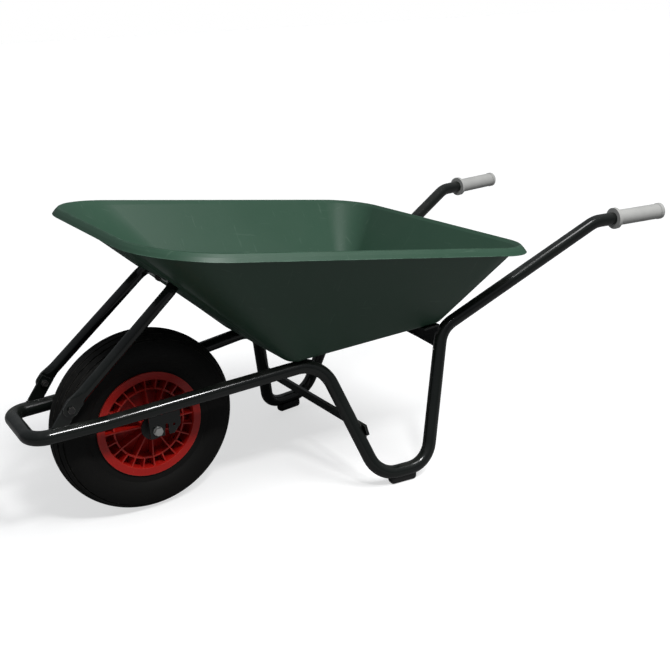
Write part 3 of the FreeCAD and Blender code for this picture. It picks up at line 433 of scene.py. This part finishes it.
wire(tree, plastic.outputs[0], out.inputs["Surface"])
print("finish:", tray_plastic.name)

# %% [markdown]
# ## Red wheel plastic
# The wheel centre is a thick red moulding with a soft shine. Grime in the corners would
# be paler on red than on black, so a little dust drift is enough.

# %% Wheel plastic
wheel_plastic, tree, out = blank("red wheel plastic")
plastic = add(tree, "ShaderNodeBsdfPrincipled")
skin = place_group(tree, grain, Grain_Scale=800.0, Drift_Scale=16.0)
edges = place_group(tree, worn, Reach=0.0015, Amount=0.6, Patch_Scale=60.0)
marks = place_group(tree, scored, Scale=26.0, Amount=0.25)
red = blend_colours(tree, skin.outputs["Drift"], (0.39, 0.007, 0.005), (0.54, 0.013, 0.008))
rubbed = blend_colours(tree, edges.outputs["Wear"], red, (0.62, 0.10, 0.07))
grazed = blend_colours(tree, marks.outputs["Marks"], rubbed, (0.55, 0.13, 0.10))
wire(tree, grazed, plastic.inputs["Base Color"])
wire(tree, maths(tree, "MULTIPLY_ADD", skin.outputs["Drift"], 0.16, 0.34), plastic.inputs["Roughness"])
wire(tree, bumped(tree, skin.outputs["Height"], 0.12, 0.0003), plastic.inputs["Normal"])
wire(tree, plastic.outputs[0], out.inputs["Surface"])
print("finish:", wheel_plastic.name)

# %% [markdown]
# ## Tyre rubber
# Matte black rubber. It is the one surface that truly collects dirt, brownish and uneven.
# The mould leaves thin raised rings on the sidewalls. Each is a band of the distance from
# the axle, and goes into the bump with the grain.

# %% Tyre rubber
axle = frame["joints"][0]["pos_m"]
ring_radii = (0.128, 0.149, 0.171)
ring_half_width = 0.0008
tyre_rubber, tree, out = blank("tyre rubber")
rubber = add(tree, "ShaderNodeBsdfPrincipled")
rubber.inputs["Specular IOR Level"].default_value = 0.25
skin = place_group(tree, grain, Grain_Scale=700.0, Drift_Scale=11.0)
edges = place_group(tree, worn, Reach=0.002, Amount=0.8, Patch_Scale=70.0)
black = blend_colours(tree, skin.outputs["Drift"], (0.0030, 0.0030, 0.0028), (0.0085, 0.0080, 0.0070))
rubbed = blend_colours(tree, edges.outputs["Wear"], black, (0.045, 0.043, 0.038))
wire(tree, rubbed, rubber.inputs["Base Color"])
wire(tree, maths(tree, "MULTIPLY_ADD", skin.outputs["Drift"], 0.15, 0.62), rubber.inputs["Roughness"])
place = add(tree, "ShaderNodeTexCoord")
about = add(tree, "ShaderNodeVectorMath", operation="SUBTRACT")
about.inputs[1].default_value = axle
wire(tree, place.outputs["Object"], about.inputs[0])
flat = add(tree, "ShaderNodeVectorMath", operation="MULTIPLY")
flat.inputs[1].default_value = (1, 0, 1)
wire(tree, about.outputs[0], flat.inputs[0])
out_from_axle = add(tree, "ShaderNodeVectorMath", operation="LENGTH")
wire(tree, flat.outputs[0], out_from_axle.inputs[0])
rings = None
for ring_radius in ring_radii:
    ring = maths(tree, "COMPARE", out_from_axle.outputs["Value"], ring_radius, ring_half_width)
    rings = ring if rings is None else maths(tree, "MAXIMUM", rings, ring)
grainy = bumped(tree, skin.outputs["Height"], 0.25, 0.0005)
raised = add(tree, "ShaderNodeBump", Strength=0.6, Distance=0.0008)
wire(tree, rings, raised.inputs["Height"])
wire(tree, grainy, raised.inputs["Normal"])
wire(tree, raised.outputs[0], rubber.inputs["Normal"])
wire(tree, rubber.outputs[0], out.inputs["Surface"])
print("finish:", tyre_rubber.name)

# %% [markdown]
# ## Black plastic, grey grips and zinc
# Three smaller finishes: the foot pads and hub bushes, the pushed-on grips, and the
# plated bolts.

# %% Black plastic
black_plastic, tree, out = blank("black moulded plastic")
plastic = add(tree, "ShaderNodeBsdfPrincipled")
skin = place_group(tree, grain, Grain_Scale=900.0, Drift_Scale=18.0)
edges = place_group(tree, worn, Reach=0.0012, Amount=0.8, Patch_Scale=80.0)
black = blend_colours(tree, skin.outputs["Drift"], (0.009, 0.009, 0.009), (0.018, 0.018, 0.017))
rubbed = blend_colours(tree, edges.outputs["Wear"], black, (0.07, 0.07, 0.068))
wire(tree, rubbed, plastic.inputs["Base Color"])
wire(tree, maths(tree, "MULTIPLY_ADD", skin.outputs["Drift"], 0.2, 0.42), plastic.inputs["Roughness"])
wire(tree, bumped(tree, skin.outputs["Height"], 0.15, 0.0003), plastic.inputs["Normal"])
wire(tree, plastic.outputs[0], out.inputs["Surface"])
print("finish:", black_plastic.name)

# %% Grip plastic
grip_plastic, tree, out = blank("light grey grip")
plastic = add(tree, "ShaderNodeBsdfPrincipled")
skin = place_group(tree, grain, Grain_Scale=1000.0, Drift_Scale=26.0)
marks = place_group(tree, scored, Scale=45.0, Amount=0.5)
film = place_group(tree, dusty, Amount=0.2, Patch_Scale=40.0)
grey = blend_colours(tree, skin.outputs["Drift"], (0.35, 0.35, 0.34), (0.45, 0.45, 0.435))
handled = blend_colours(tree, marks.outputs["Marks"], grey, (0.26, 0.255, 0.24))
powdered = blend_colours(tree, film.outputs["Dust"], handled, (0.36, 0.35, 0.32))
wire(tree, powdered, plastic.inputs["Base Color"])
wire(tree, maths(tree, "MULTIPLY_ADD", skin.outputs["Drift"], 0.2, 0.45), plastic.inputs["Roughness"])
wire(tree, bumped(tree, skin.outputs["Height"], 0.2, 0.0004), plastic.inputs["Normal"])
wire(tree, plastic.outputs[0], out.inputs["Surface"])
print("finish:", grip_plastic.name)

# %% [markdown]
# **Black zinc.** The small bolts and nuts are plated black, and show bare steel on corners.

# %% Black zinc
black_zinc, tree, out = blank("black zinc plate")
plate = add(tree, "ShaderNodeBsdfPrincipled")
skin = place_group(tree, grain, Grain_Scale=260.0, Drift_Scale=60.0)
edges = place_group(tree, worn, Reach=0.0008, Amount=0.8, Patch_Scale=120.0)
dark = blend_colours(tree, skin.outputs["Drift"], (0.010, 0.010, 0.011), (0.022, 0.021, 0.020))
wire(tree, blend_colours(tree, edges.outputs["Wear"], dark, (0.20, 0.19, 0.17)), plate.inputs["Base Color"])
wire(tree, maths(tree, "MULTIPLY_ADD", skin.outputs["Drift"], 0.25, 0.28), plate.inputs["Roughness"])
wire(tree, bumped(tree, skin.outputs["Height"], 0.08, 0.0003), plate.inputs["Normal"])
wire(tree, plate.outputs[0], out.inputs["Surface"])
print("finish:", black_zinc.name)

# %% [markdown]
# **Bright zinc.** The axle bolt is plated bright, so it is the one true metal in sight: its
# shine comes from `Metallic`, and its slight unevenness from the drift in roughness.

# %% Zinc
zinc, tree, out = blank("zinc plate")
plate = add(tree, "ShaderNodeBsdfPrincipled")
skin = place_group(tree, grain, Grain_Scale=260.0, Drift_Scale=60.0)
marks = place_group(tree, scored, Scale=120.0, Amount=0.6)
bright = blend_colours(tree, skin.outputs["Drift"], (0.55, 0.55, 0.54), (0.78, 0.78, 0.76))
scratched = blend_colours(tree, marks.outputs["Marks"], bright, (0.42, 0.41, 0.38))
wire(tree, scratched, plate.inputs["Base Color"])
plate.inputs["Metallic"].default_value = 1.0
wire(tree, maths(tree, "MULTIPLY_ADD", skin.outputs["Drift"], 0.25, 0.22), plate.inputs["Roughness"])
wire(tree, bumped(tree, skin.outputs["Height"], 0.08, 0.0003), plate.inputs["Normal"])
wire(tree, plate.outputs[0], out.inputs["Surface"])
print("finish:", zinc.name)

# %% [markdown]
# ## Dressing the parts
# Each shaped part takes the finish of its material slot, so the record of what each part
# is made of stays the one list to keep.

# %% Dressing the parts
finishes = {
    "frame_paint": frame_paint,
    "black_plastic": black_plastic,
    "grip_plastic": grip_plastic,
    "tray_plastic": tray_plastic,
    "zinc": zinc,
    "black_zinc": black_zinc,
    "wheel_plastic": wheel_plastic,
    "tyre_rubber": tyre_rubber,
    "tube_rubber": tyre_rubber,
}
for row in frame["record"]["subparts"]:
    part = parts[row["node"]]
    part.data.materials.clear()
    part.data.materials.append(finishes[row["material_slot"]])
print("dressed", len(parts), "parts")

# %% [markdown]
# ## Weld beads
# A weld is a row of molten drops, each laid over the last. So is this one: a row of small
# spheres, closer together than they are wide. A `BVHTree` finds the nearest spot on the
# tubes, and every drop is set down there, so a bead follows the round steel. That says
# nothing of the part being joined: where its edge stands off the tube, the bead lies beside
# it. About a third of the drops do, most of all at the axle plates and the cross-member.

# %% A bead of drops
def surface_of(*names):
    """A search tree of the surfaces of the named parts."""
    joined = bmesh.new()
    for name in names:
        joined.from_mesh(parts[name].data)
    tree_of = BVHTree.FromBMesh(joined)
    joined.free()
    return tree_of


def finish_piece(name, shape, body, slot):
    """Turn a bmesh into a smooth piece that rides on a body and has that slot's finish."""
    for face in shape.faces:
        face.smooth = True
    mesh = bpy.data.meshes.new(name)
    shape.to_mesh(mesh)
    shape.free()
    mesh.materials.append(finishes[slot])
    piece = bpy.data.objects.new(name, mesh)
    bpy.context.scene.collection.objects.link(piece)
    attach(piece, body)
    return piece


steel = surface_of("front_loop", "side_tube_left", "side_tube_right")
drop = 0.0021
drop_spacing = 0.8


def weld(shape, start, end):
    """Lay drops from start to end, each on the nearest spot of the tubes."""
    start, end = Vector(start), Vector(end)
    steps = max(3, round((end - start).length / (drop_spacing * drop)))
    for step in range(steps + 1):
        spot = steel.find_nearest(start.lerp(end, step / steps))[0]
        bmesh.ops.create_icosphere(shape, subdivisions=2, radius=drop, matrix=Matrix.Translation(spot))


# %% [markdown]
# A bead is aimed at both sides of each lug and axle plate, and at the ends of the brace, the
# strap and the cross-member. Its place is read from the box of the part that is welded on,
# which is only as close as the box fits that part. The sides are mirror images.

# %% Weld beads
lug_stand_off = 0.0008
lug_foot_height = 0.2668
lug_lean = 0.026
lug_overrun = 0.001
long_bead_inset = 0.004
short_bead_inset = 0.003
brace_bead_start = 0.002
brace_bead_end = 0.022
for side_name, hand in (("left", -1), ("right", 1)):
    shape = bmesh.new()
    low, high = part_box("stay_lug_" + side_name)
    for y in (low[1] - lug_stand_off, high[1] + lug_stand_off):
        weld(shape, (low[0] - lug_overrun, y, lug_foot_height), (high[0] - lug_lean, y, lug_foot_height))
    low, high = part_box("axle_plate_" + side_name)
    for y in (low[1], high[1]):
        weld(shape, (low[0] + long_bead_inset, y, high[2]), (high[0] - long_bead_inset, y, high[2]))
    low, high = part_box("leg_brace")
    for x, z in ((low[0] + short_bead_inset, high[2]), (high[0] - short_bead_inset, low[2])):
        outer, inner = high[1] - brace_bead_start, high[1] - brace_bead_end
        weld(shape, (x, hand * outer, z), (x, hand * inner, z))
    low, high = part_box("rear_cross_member")
    for z in (low[2] + long_bead_inset, high[2] - long_bead_inset):
        y = hand * high[1]
        weld(shape, (low[0] + long_bead_inset, y, z), (high[0] - long_bead_inset, y, z))
    low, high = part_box("front_tray_strap")
    y = hand * high[1]
    weld(shape, (low[0] + short_bead_inset, y, low[2]), (high[0] - short_bead_inset, y, low[2]))
    beads = finish_piece("weld_beads_" + side_name, shape, "frame", "frame_paint")
    print(beads.name, len(beads.data.polygons), "faces")

# %% [markdown]
# ## Moulding hairs
# A tyre mould has small vents, and rubber creeps into each and leaves a hair. They stand on
# the shoulders at uneven spacings: the golden angle spreads them without a visible rhythm.

# %% Moulding hairs
rubber_skin = surface_of("tyre")
hair_count = 34
hair_length = 0.0034
hair_radius = 0.0005
hair_root = 0.0005
shoulder_radius = 0.183
shoulder_offset = 0.044
golden_angle = math.radians(137.5)
hub_centre = Vector(axle)
shape = bmesh.new()
for hair in range(hair_count):
    turn = hair * golden_angle
    hand = 1 if hair % 2 else -1
    reach = Vector((shoulder_radius * math.sin(turn), hand * shoulder_offset,
                    shoulder_radius * math.cos(turn)))
    root, outward = rubber_skin.find_nearest(hub_centre + reach)[:2]
    stand = Vector((0, 0, 1)).rotation_difference(outward).to_matrix().to_4x4()
    centre = Matrix.Translation(root + outward * (hair_length / 2 - hair_root))
    bmesh.ops.create_cone(shape, cap_ends=True, segments=6, radius1=hair_radius,
                          radius2=hair_radius * 0.6, depth=hair_length, matrix=centre @ stand)
hairs = finish_piece("moulding_hairs", shape, "wheel", "tyre_rubber")
print(hairs.name, hair_count)
